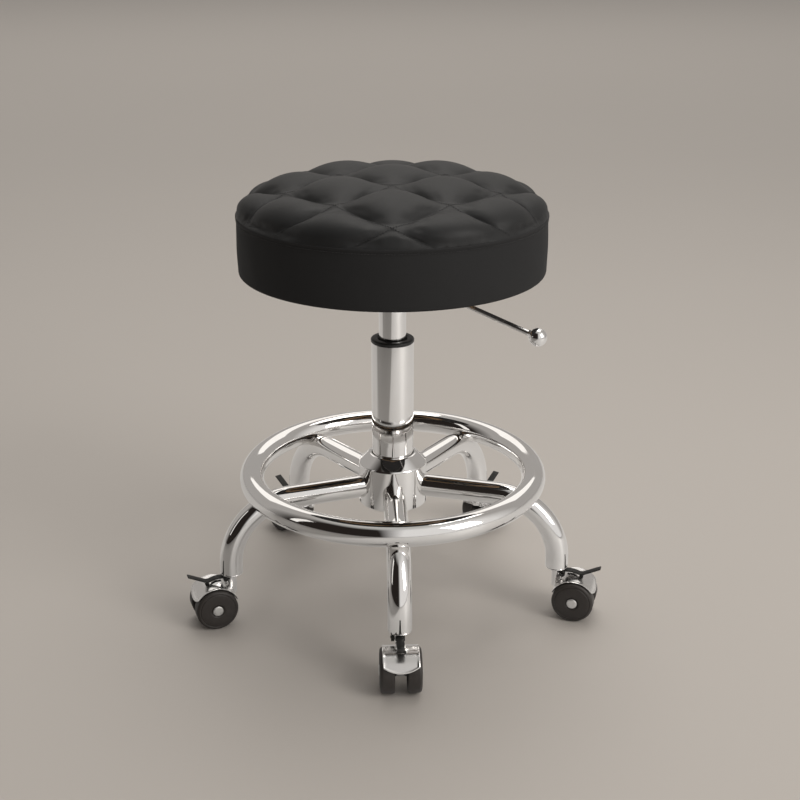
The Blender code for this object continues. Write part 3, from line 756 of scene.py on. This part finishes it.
bandSize = {
    "bottom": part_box("side_band")[0][2] / mm, "corner": 3.5, "cornerSteps": 8, "hem": 150.0, "rows": 12,
    "steps": 300, "belly": 0.7, "puckers": 96, "puckerDepth": 0.1, "puckerReach": 7, "drift": 0.28,
    "pleats": 54, "pleatDepth": 0.45,
    "welt": [(-4.5, -3.0), (-2.2, 0.4), (-0.4, 1.0), (0.5, 0.2), (0.55, -1.3), (-0.1, -2.6)],
}


def makeSideBand(size):
    radius, seam, bottom = seat["radius"], seat["seam"], size["bottom"]
    profile = [(radius + out, seam + up) for out, up in size["welt"]]
    span = seam - 4 - bottom - size["corner"]
    for row in range(size["rows"] + 1):
        share = row / size["rows"]
        profile.append((radius - 0.4 + size["belly"] * math.sin(math.pi * share), seam - 4 - span * share))
    out, up = radius - 0.4 - size["corner"], bottom + size["corner"]
    for step in range(1, size["cornerSteps"] + 1):
        turn = math.pi / 2 * step / size["cornerSteps"]
        profile.append((out + size["corner"] * math.cos(turn), up - size["corner"] * math.sin(turn)))
    profile += [(radius - 14, bottom), (radius - 19, bottom + 0.1), (size["hem"], bottom + 0.3)]
    profile += [(size["hem"], bottom + 1.6), (radius - 16, bottom + 2.2), (radius - 6, bottom + 5)]
    profile += [(radius - 3.4, bottom + 12), (radius - 3.4, seam - 10)]
    bm = turned(profile, size["steps"])
    for vert in bm.verts:
        angle = math.atan2(vert.co.y, vert.co.x)
        x, y = math.cos(angle), math.sin(angle)
        reach = vert.co.xy.length
        height = vert.co.z / mm
        if reach > (radius - 3) * mm and height > bottom + 1:
            near = math.exp(-abs(seam - 3 - height) / size["puckerReach"])
            wave = math.sin(size["puckers"] * angle + 2.5 * noise.noise(Vector((x, y, 0)) * 3))
            drift = noise.noise(Vector((x * 5, y * 5, height / 22)))
            shift = (size["puckerDepth"] * near * wave + size["drift"] * drift) * mm
            vert.co.x += vert.co.x / reach * shift
            vert.co.y += vert.co.y / reach * shift
        elif height < bottom + 3:
            fold = max(0.0, min(1.0, (radius * mm - 8 * mm - reach) / (16 * mm)))
            wave = math.sin(size["pleats"] * angle + 3 * noise.noise(Vector((x, y, 1)) * 4))
            vert.co.z += (size["pleatDepth"] * wave - 0.2) * fold * mm
    piece("side_band_cover", bm, bandLeather, "seat", ["side_band"], onColumn, 50)


def makeSeamStitches(sewn):
    # One row in the seam between top and band
    bm = bmesh.new()
    radius = seat["radius"] + sewn["out"]
    count = round(math.tau * radius / sewn["pitch"])
    height = seat["seam"] - sewn["down"]
    for step in range(count):
        ends = []
        for share in (0.0, sewn["share"]):
            turn = math.tau * (step + share) / count
            ends.append(Vector((radius * math.cos(turn), radius * math.sin(turn), height)) * mm)
        addStitch(bm, *ends, sewn["thick"])
    piece("band_stitching", bm, thread, "seat", place=onColumn, sharp=60)


dustSize = {
    "low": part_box("dust_cover")[0][2] / mm, "steps": 160, "ripple": 0.35, "staples": 44, "stapleRing": 153.5,
    "profile": [(108, 0), (120, -0.2), (135, -0.25), (150.5, -0.1), (150.5, 0.8), (108, 0.8)],
    "staple": (0.9, 9.5, 0.7), "stapleDown": 1.5, "stapleTilt": 8,
}


def makeDustCover(size):
    low = size["low"]
    bm = turned([(reach, low + up) for reach, up in size["profile"]], size["steps"])
    for vert in bm.verts:
        vert.co.z += size["ripple"] * mm * noise.noise(vert.co * 45)
    piece("dust_cover_cloth", bm, undercloth, "seat", ["dust_cover"], onColumn, 50)
    bm = bmesh.new()
    shape = Matrix.Diagonal((*(side * mm for side in size["staple"]), 1))
    at = Matrix.Translation((size["stapleRing"] * mm, 0, (low - size["stapleDown"]) * mm))
    for step in range(size["staples"]):
        turn = math.tau * (step + 0.3 * noise.noise(Vector((step * 1.7, 0, 0)))) / size["staples"]
        tilt = math.radians(size["stapleTilt"] * noise.noise(Vector((step * 2.3, 5, 0))))
        place = Matrix.Rotation(turn, 4, "Z") @ at @ Matrix.Rotation(tilt, 4, "Z")
        bmesh.ops.create_cube(bm, size=1, matrix=place @ shape)
    bmesh.ops.bevel(
        bm, geom=bm.edges[:], offset=0.2 * mm, segments=1, profile=0.5, affect="EDGES", material=-1
    )
    piece("hem_staples", bm, capSteel, "seat", place=onColumn)


makeQuiltedTop(seat)
makeQuiltStitches(seat, quiltStitch)
makeSideBand(bandSize)
makeSeamStitches(seamStitch)
makeDustCover(dustSize)
print("seat made")


# Lever under the seat

leverSize = {"blade": (-3, 34, 403, 409), "halfBlade": 4.0, "rod": 3.0, "knob": (203, 375), "ball": 10.0}


def makeLever(size):
    tail, nose, under, over = size["blade"]
    outline = softened([(tail, under), (nose, under), (nose, over), (tail, over)], 1.2, 3)
    blade = slab(outline, size["halfBlade"], 0.5)
    start = Vector((nose - 5, 0, (under + over) / 2))
    end = Vector((size["knob"][0], 0, size["knob"][1]))
    along = (end - start).normalized()
    length = (end - start).length
    outline = [(0, 0), (size["rod"], 0), (size["rod"], length - 6), (0, length - 6)]
    rod = turned(softened(outline, 0.4, 2, False), 32, False)
    bm = joined(blade, moved(rod, toward(along, start)))
    piece("lever_rod", bm, hoodChrome, "lever", ["lever_arm"], leverPlace, 40)
    r = size["ball"]
    profile = [(0, -r - 1.5), (4.0, -r - 1.5), (4.4, -r + 0.6)]
    for step in range(4, 25):
        turn = math.pi * step / 24
        if r * math.sin(turn) > 4.3 or step > 12:
            profile.append((r * math.sin(turn), -r * math.cos(turn)))
    profile[-1] = (0, r)
    knob = moved(turned(profile, 64, False), toward(along, end))
    piece("lever_ball", knob, liftChrome, "lever", ["lever_knob"], leverPlace, 50)


screwSize = {
    "under": 415.4, "places": ((62, 62), (-62, 62), (-62, -62), (62, -62)), "steps": 36,
    "head": [(0, -1.8), (1.8, -1.8), (1.8, -3.5), (3.2, -3.4), (5.0, -1.6), (5.2, 0), (0, 0)],
    "washer": [(0, -1.0), (7.5, -1.0), (7.5, 0), (0, 0)],
}


def makePlateScrews(size):
    for index, (x, y) in enumerate(size["places"]):
        parts = []
        for shape in ("head", "washer"):
            outline = [(reach, size["under"] + up) for reach, up in size[shape]]
            parts.append(turned(softened(outline, 0.3, 2, False), size["steps"], False))
        for vert in parts[0].verts:
            if 1.2 * mm < vert.co.xy.length < 2 * mm:  # the six-sided recess
                turn = math.degrees(math.atan2(vert.co.y, vert.co.x)) % 60 - 30
                vert.co.xy *= 1 / math.cos(math.radians(turn))
        bm = joined(*parts)
        place = leverPlace @ Matrix.Translation((x * mm, y * mm, 0))
        piece(f"plate_screw_{index + 1}", bm, stemSteel, "seat", place=place)


makeLever(leverSize)
makePlateScrews(screwSize)
print("lever made")


# Casters

casterSize = {
    "stem": 205.0, "axle": (228.5, 25.0), "wheel": 25.0, "width": 16.5, "gap": 14.0, "cap": 6.2,
    "hood": (26.2, 27.7), "halfHood": 20.25, "arc": (21.5, 36.0, 158.0), "sheet": 1.3,
    "web": 12.5, "foot": 7.0, "tongueFloor": 22,
    "slot": (4.9, 8.9, 5.0),  # in front of the axle from and to, and half its width
    "plug": [
        (0, 38), (3.4, 38), (3.4, 57.6), (7.2, 57.9), (8.2, 58.8), (8.4, 60.2), (12.9, 60.6), (13.4, 61.4),
        (13.2, 62.3), (11.2, 62.6), (11.2, 71), (0, 71),
    ],
    "boss": [(0, 36), (5.4, 36), (5.4, 57.6), (0, 57.6)],
    "hump": [(219, 49), (233.3, 47.5), (233.3, 50.4), (230, 52.6), (226, 54.3), (219, 54.3)], "halfHump": 5.6,
}


def makeStem(k, size):
    bm = turned(softened(size["plug"], 0.5, 3, False), 64, False)
    place = legPlace[k] @ Matrix.Translation((size["stem"] * mm, 0, 0))
    piece(f"caster_plug_{k}", bm, liftChrome, "base", [f"caster_stem_{k}"], place)


def hoodShell(size):
    # The curved hood with a raised rim along its sides and its lower edge
    inner, outer = size["hood"]
    middleFrom, sideFrom, to = size["arc"]
    degrees = 57.3  # in one radian
    bm = bmesh.new()
    bmesh.ops.create_grid(bm, x_segments=40, y_segments=28, size=1)
    for vert in bm.verts:
        across = math.copysign(1 - (1 - abs(vert.co.y)) ** 1.35, vert.co.y)
        share = ((vert.co.x + 1) / 2) ** 1.3
        start = middleFrom + (sideFrom - middleFrom) * abs(across) ** 2.2
        angle = math.radians(start + (to - start) * share)
        toEdge = min((1 - abs(across)) * size["halfHood"], (math.degrees(angle) - start) / degrees * outer)
        rim = 0.55 * math.exp(-((toEdge - 0.9) / 0.75) ** 2)
        radius = (outer + inner) / 2 + rim
        vert.co = (
            (size["axle"][0] + radius * math.cos(angle)) * mm,
            across * size["halfHood"] * mm,
            (size["axle"][1] + radius * math.sin(angle)) * mm,
        )
    near, far, half = (value * mm for value in size["slot"])
    slot = []
    for face in bm.faces:
        centre = face.calc_center_median()
        x, above = centre.x - size["axle"][0] * mm, centre.z > size["axle"][1] * mm
        if near < x < far and abs(centre.y) < half and above:
            slot.append(face)
    bmesh.ops.delete(bm, geom=slot, context="FACES")
    bmesh.ops.recalc_face_normals(bm, faces=bm.faces)
    bmesh.ops.solidify(bm, geom=bm.faces[:], thickness=size["sheet"] * mm)
    return bm


def makeHousing(k, size):
    x, z = size["axle"]
    near, far = size["slot"][:2]

    def arc(reach, start, end, steps):
        turns = [math.radians(start + (end - start) * step / steps) for step in range(steps + 1)]
        return [(x + reach * math.cos(turn), z + reach * math.sin(turn)) for turn in turns]

    web = arc(size["hood"][0] + 0.4, 40, 69, 10)
    floor = z + size["tongueFloor"]
    web += [(x + far + 0.4, floor), (x + near - 0.4, floor)]  # room for the brake's tongue
    web += arc(size["hood"][0] + 0.4, 80, 158, 10) + arc(size["foot"], 200, 380, 12)
    core = slab(web, size["web"] / 2, 0.5)
    boss = turned(softened(size["boss"], 0.5, 3, False), 40, False)
    boss = moved(boss, Matrix.Translation((size["stem"] * mm, 0, 0)))
    block = slab(softened(size["hump"], 0.9, 3), size["halfHump"], 0.5)
    bm = joined(hoodShell(size), core, boss, block)
    housing = [f"caster_housing_{k}"]
    piece(f"caster_hood_{k}", bm, hoodChrome, f"caster_{k}", housing, legPlace[k], 42)


def onAxle(size):
    x, z = size["axle"]
    return Matrix.Translation((x * mm, 0, z * mm)) @ Matrix.Rotation(-math.pi / 2, 4, "X")


def makeAxle(k, size):
    half = size["gap"] / 2 + size["width"]
    cap = size["cap"]
    end = [(3, half - 1.0), (cap, half - 1.0), (cap, half + 0.1), (cap * 0.86, half + 0.6)]
    end += [(cap * 0.5, half + 0.85), (0, half + 0.9)]
    profile = [(reach, -height) for reach, height in reversed(end)] + end
    bm = turned(softened(profile, 0.35, 3, False), 48, False)
    place = legPlace[k] @ onAxle(size)
    piece(f"axle_caps_{k}", bm, capSteel, f"caster_{k}", [f"caster_axle_{k}"], place)


def makeWheel(k, side, size):
    sign = 1 if side == "left" else -1
    inner, outer = size["gap"] / 2, size["gap"] / 2 + size["width"]
    r, cap = size["wheel"], size["cap"]
    profile = [
        (3.4, inner), (6, inner), (6.4, inner + 1.6), (r - 5, inner + 1.6), (r - 4.4, inner),
        (r - 1.2, inner), (r, inner + 1.2), (r, outer - 3.2), (r - 1.0, outer - 1.5), (r - 2.4, outer - 0.7),
        (r - 3.4, outer - 0.55), (r - 3.8, outer - 0.95), (r - 4.3, outer - 0.95), (r - 4.7, outer - 0.35),
        (r - 9, outer - 0.1), (cap + 3.2, outer), (cap + 2.4, outer - 0.1), (cap + 2.0, outer - 0.5),
        (cap + 0.9, outer - 0.7), (cap + 0.7, outer - 1.6), (3.4, outer - 1.6),
    ]
    bm = turned([(radius, sign * height) for radius, height in softened(profile, 0.35, 2)], 96)
    wheel = f"wheel_{k}_{side}"
    place = legPlace[k] @ onAxle(size)
    piece(f"caster_{wheel}", bm, wheelPlastic, wheel, [wheel], place, 40)


brakeSize = {
    "pivot": (213.4, 55.2), "half": 4.3, "knuckle": 2.9,
    "top": [
        (0, 2.9), (3, 3.3), (8, 3.5), (12.5, 3.1), (17, 1.9), (20, 0.9), (23.5, 1.0), (30, 4.0),
        (38, 7.9), (44.6, 10.8),
    ],
    "under": [
        (45.2, 9.5), (38, 6.1), (30, 2.2), (24.6, -0.4), (23.2, -1.4), (23.1, -4.3), (21.5, -4.3),
        (21.3, -1.3), (17, 0.3), (12, 1.5), (8, 1.8), (3, 1.6), (0, 1.2),
    ],
}


def makeBrake(k, size):
    px, pz = size["pivot"]
    outline = [(px + x, pz + z) for x, z in softened(size["top"] + size["under"], 0.5, 2)]
    strip = slab(outline, size["half"], 0.45)
    half = size["half"] + 1.0
    knuckle = [(0, -half), (size["knuckle"], -half), (size["knuckle"], half), (0, half)]
    barrel = turned(softened(knuckle, 0.5, 2, False), 32, False)
    barrel = moved(barrel, toward((0, 1, 0), (px, 0, pz)))
    bm = joined(strip, barrel)
    replaced = [f"brake_lever_{k}"]
    piece(f"brake_pedal_{k}", bm, blackPaint, f"brake_{k}", replaced, legPlace[k])


def sweptWire(points, thick, sides=10):
    # A round wire along a path, made as a curve and turned into a mesh
    data = bpy.data.curves.new("wire", "CURVE")
    data.dimensions = "3D"
    data.bevel_depth = thick * mm
    data.bevel_resolution = (sides - 4) // 2
    data.use_fill_caps = True
    spline = data.splines.new("POLY")
    spline.points.add(len(points) - 1)
    for target, point in zip(spline.points, points):
        target.co = (*(Vector(point) * mm), 1)
    holder = placed("wire", data)
    mesh = bpy.data.meshes.new_from_object(holder.evaluated_get(bpy.context.evaluated_depsgraph_get()))
    bm = bmesh.new()
    bm.from_mesh(mesh)
    bpy.data.objects.remove(holder)
    bpy.data.curves.remove(data)
    bpy.data.meshes.remove(mesh)
    return bm


springSize = {
    "turns": 3.5, "radius": 3.0, "rise": 1.15, "perTurn": 16, "eye": 2.1, "wire": (0.5, 0.6), "beside": 1.9,
}


def makeBrakeSpring(k, brake, size):
    # Torsion spring beside the hinge, with one leg on the hood and an eye standing up
    px, pz = brake["pivot"]
    side = -brake["half"] - size["beside"]
    coil = []
    for step in range(int(size["turns"] * size["perTurn"]) + 1):
        angle = math.tau * step / size["perTurn"]
        x, z = size["radius"] * math.cos(angle), size["radius"] * math.sin(angle)
        coil.append((px + x, side - size["rise"] * step / size["perTurn"], pz + 0.4 + z))
    coil.append((px - 4.6, side - 4.2, pz - 1.2))
    eye = [(px + 0.2, side - 0.4, pz + 2.6)]
    for step in range(21):
        angle = math.radians(-70 + 320 * step / 20)
        y, z = size["eye"] * math.cos(angle), size["eye"] * math.sin(angle)
        eye.append((px + 0.5, side - 1.6 - y, pz + 6.6 + z))
    bm = joined(*(sweptWire(path, thick) for path, thick in zip((coil, eye), size["wire"])))
    piece(f"brake_spring_{k}", bm, springSteel, f"caster_{k}", place=legPlace[k], sharp=60)


for k in legs:
    for make in (makeStem, makeHousing, makeAxle):
        make(k, casterSize)
    for side in ("left", "right"):
        makeWheel(k, side, casterSize)
    makeBrake(k, brakeSize)
    makeBrakeSpring(k, brakeSize, springSize)
print("casters made")


# Finishes for the CAD pieces that stay; what isn't named is steel

finishOf = {"seat_board": boardWood, "seat_plate": blackPaint}
for name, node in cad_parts.items():
    if not node.hide_render:
        node.data.materials.clear()
        node.data.materials.append(finishOf.get(name, stemSteel))


# Floor, light and camera

def floorPaintAndPaintedReflection(tint=(0.5, 0.465, 0.43), paintedReflection=((0.7, 0.69, 0.68), (0.34, 0.33, 0.32))):
    # Painted reflection: glossy rays see the floor as a white sweep with a grey card on its left, colours the
    # floor itself does not have
    made = Finish("floor_paint_and_painted_reflection")
    cloud = made.noise(1.6, 3, 0.5)
    pale = tuple(part * 1.03 for part in tint)
    # Painted reflection: mask of the grey card on the left, shown only to glossy rays
    paintedCard = made.ramp(made.along("X"), -0.17, -0.25) * made.ramp(made.along("Y"), 0.1, -0.1)
    # Camera and diffuse rays get the floor's own colour; glossy rays get the painted reflection colours
    mirror = made.node("ShaderNodeLightPath", out="Is Glossy Ray")
    colour = made.blend(mirror, made.blend(cloud, tint, pale), made.blend(paintedCard, *paintedReflection))
    return made.use(Base_Color=colour, Roughness=0.5 + 0.05 * cloud)


floorMesh = bpy.data.meshes.new("floor")
bm = bmesh.new()
bmesh.ops.create_grid(bm, x_segments=1, y_segments=1, size=20)
bm.to_mesh(floorMesh)
bm.free()
floorMesh.materials.append(floorPaintAndPaintedReflection())
placed("floor", floorMesh)


class Room(Finish):
    # The world's colours, fed through its Background node
    def __init__(self, name):
        self.material = bpy.data.worlds.new(name)
        self.material.use_nodes = True
        self.tree = self.material.node_tree
        self.shader = self.tree.nodes["Background"]
        self.at = self.node("ShaderNodeTexCoord", out="Generated")


walls = {
    "left": (0.02, 0.016, 0.014), "right": (0.8, 0.78, 0.76), "back": (0.4, 0.38, 0.36),
    "roof": (0.5, 0.49, 0.47), "backdrop": (0.33, 0.31, 0.29),
}


def makeRoom(tint):
    # Dark on the front left, bright on the front right, a grey wall behind; the camera sees the backdrop
    room = Room("studio")
    front = room.blend(room.ramp(room.along("X"), -0.15, 0.12), tint["left"], tint["right"])
    sides = room.blend(room.ramp(room.along("Y"), -0.2, 0.2), front, tint["back"])
    around = room.blend(room.ramp(room.along("Z"), 0.84, 0.97), sides, tint["roof"])
    seen = room.node("ShaderNodeLightPath", out="Is Camera Ray")
    bpy.context.scene.world = room.use(Color=room.blend(seen, around, tint["backdrop"]))


makeRoom(walls)


def softbox(name, place, target, size, power, tint=(1, 0.97, 0.93)):
    data = bpy.data.lights.new(name, "AREA")
    data.shape = "RECTANGLE"
    data.size, data.size_y = size
    data.energy = power
    data.color = tint
    made = placed(name, data)
    made.location = place
    made.rotation_euler = (Vector(target) - Vector(place)).to_track_quat("-Z", "Y").to_euler()
    made.visible_camera = False


middleOfStool = (0, 0, 0.3)
softbox("key", (2.1, -1.5, 1.7), middleOfStool, (1.1, 1.8), 32)
softbox("top", (0.3, 0.8, 2.7), middleOfStool, (1.7, 1.2), 20)
softbox("back", (0, 6, 4.5), (0, 6, 0), (8, 5), 95)
softbox("left", (-2.2, -0.7, 1.3), middleOfStool, (0.3, 1.6), 1.5)

view = {
    "lens": 60.07, "sensor": 36, "nearest": 0.05,
    "place": (0, -1.48904, 0.81979), "tilt": 69.19, "turn": -0.338,
}
camera = placed("camera", bpy.data.cameras.new("camera"))
camera.data.lens = view["lens"]
camera.data.sensor_width = view["sensor"]
camera.data.clip_start = view["nearest"]
camera.location = column + Vector(view["place"])
camera.rotation_euler = (math.radians(view["tilt"]), 0, math.radians(view["turn"]))
bpy.context.scene.camera = camera
bpy.context.scene.view_settings.view_transform = "Standard"
